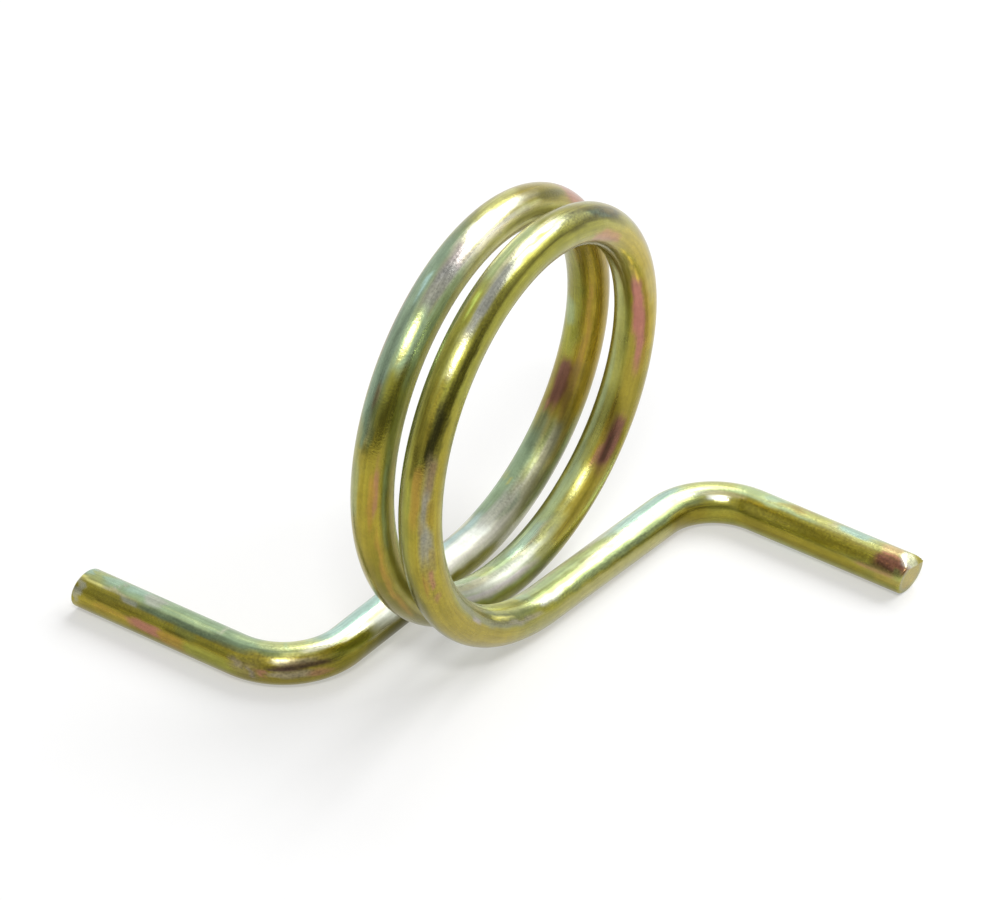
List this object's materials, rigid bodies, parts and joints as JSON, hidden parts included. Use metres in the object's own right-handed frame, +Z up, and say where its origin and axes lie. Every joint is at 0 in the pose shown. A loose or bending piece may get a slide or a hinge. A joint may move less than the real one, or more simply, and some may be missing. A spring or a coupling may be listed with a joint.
{
  "type": "torsion spring",
  "caption": "Round-wire torsion spring with an open coil and two side legs that end parallel to the coil axis, worn on a shaft to turn or hold a lever.",
  "frame": {"origin": "centre of the coil, on its axis", "axes": "coil axis along Y with the left end to +Y and the right end to -Y, legs along X, +Z up"},
  "size_m": [0.0389, 0.0462, 0.0324],
  "materials": {
    "plated_wire": "spring steel wire, yellow zinc plated, semi-gloss with an iridescent gold, olive and green tint"
  },
  "bodies": {
    "root": {"torsion_spring": "plated_wire"}
  },
  "joints": []
}
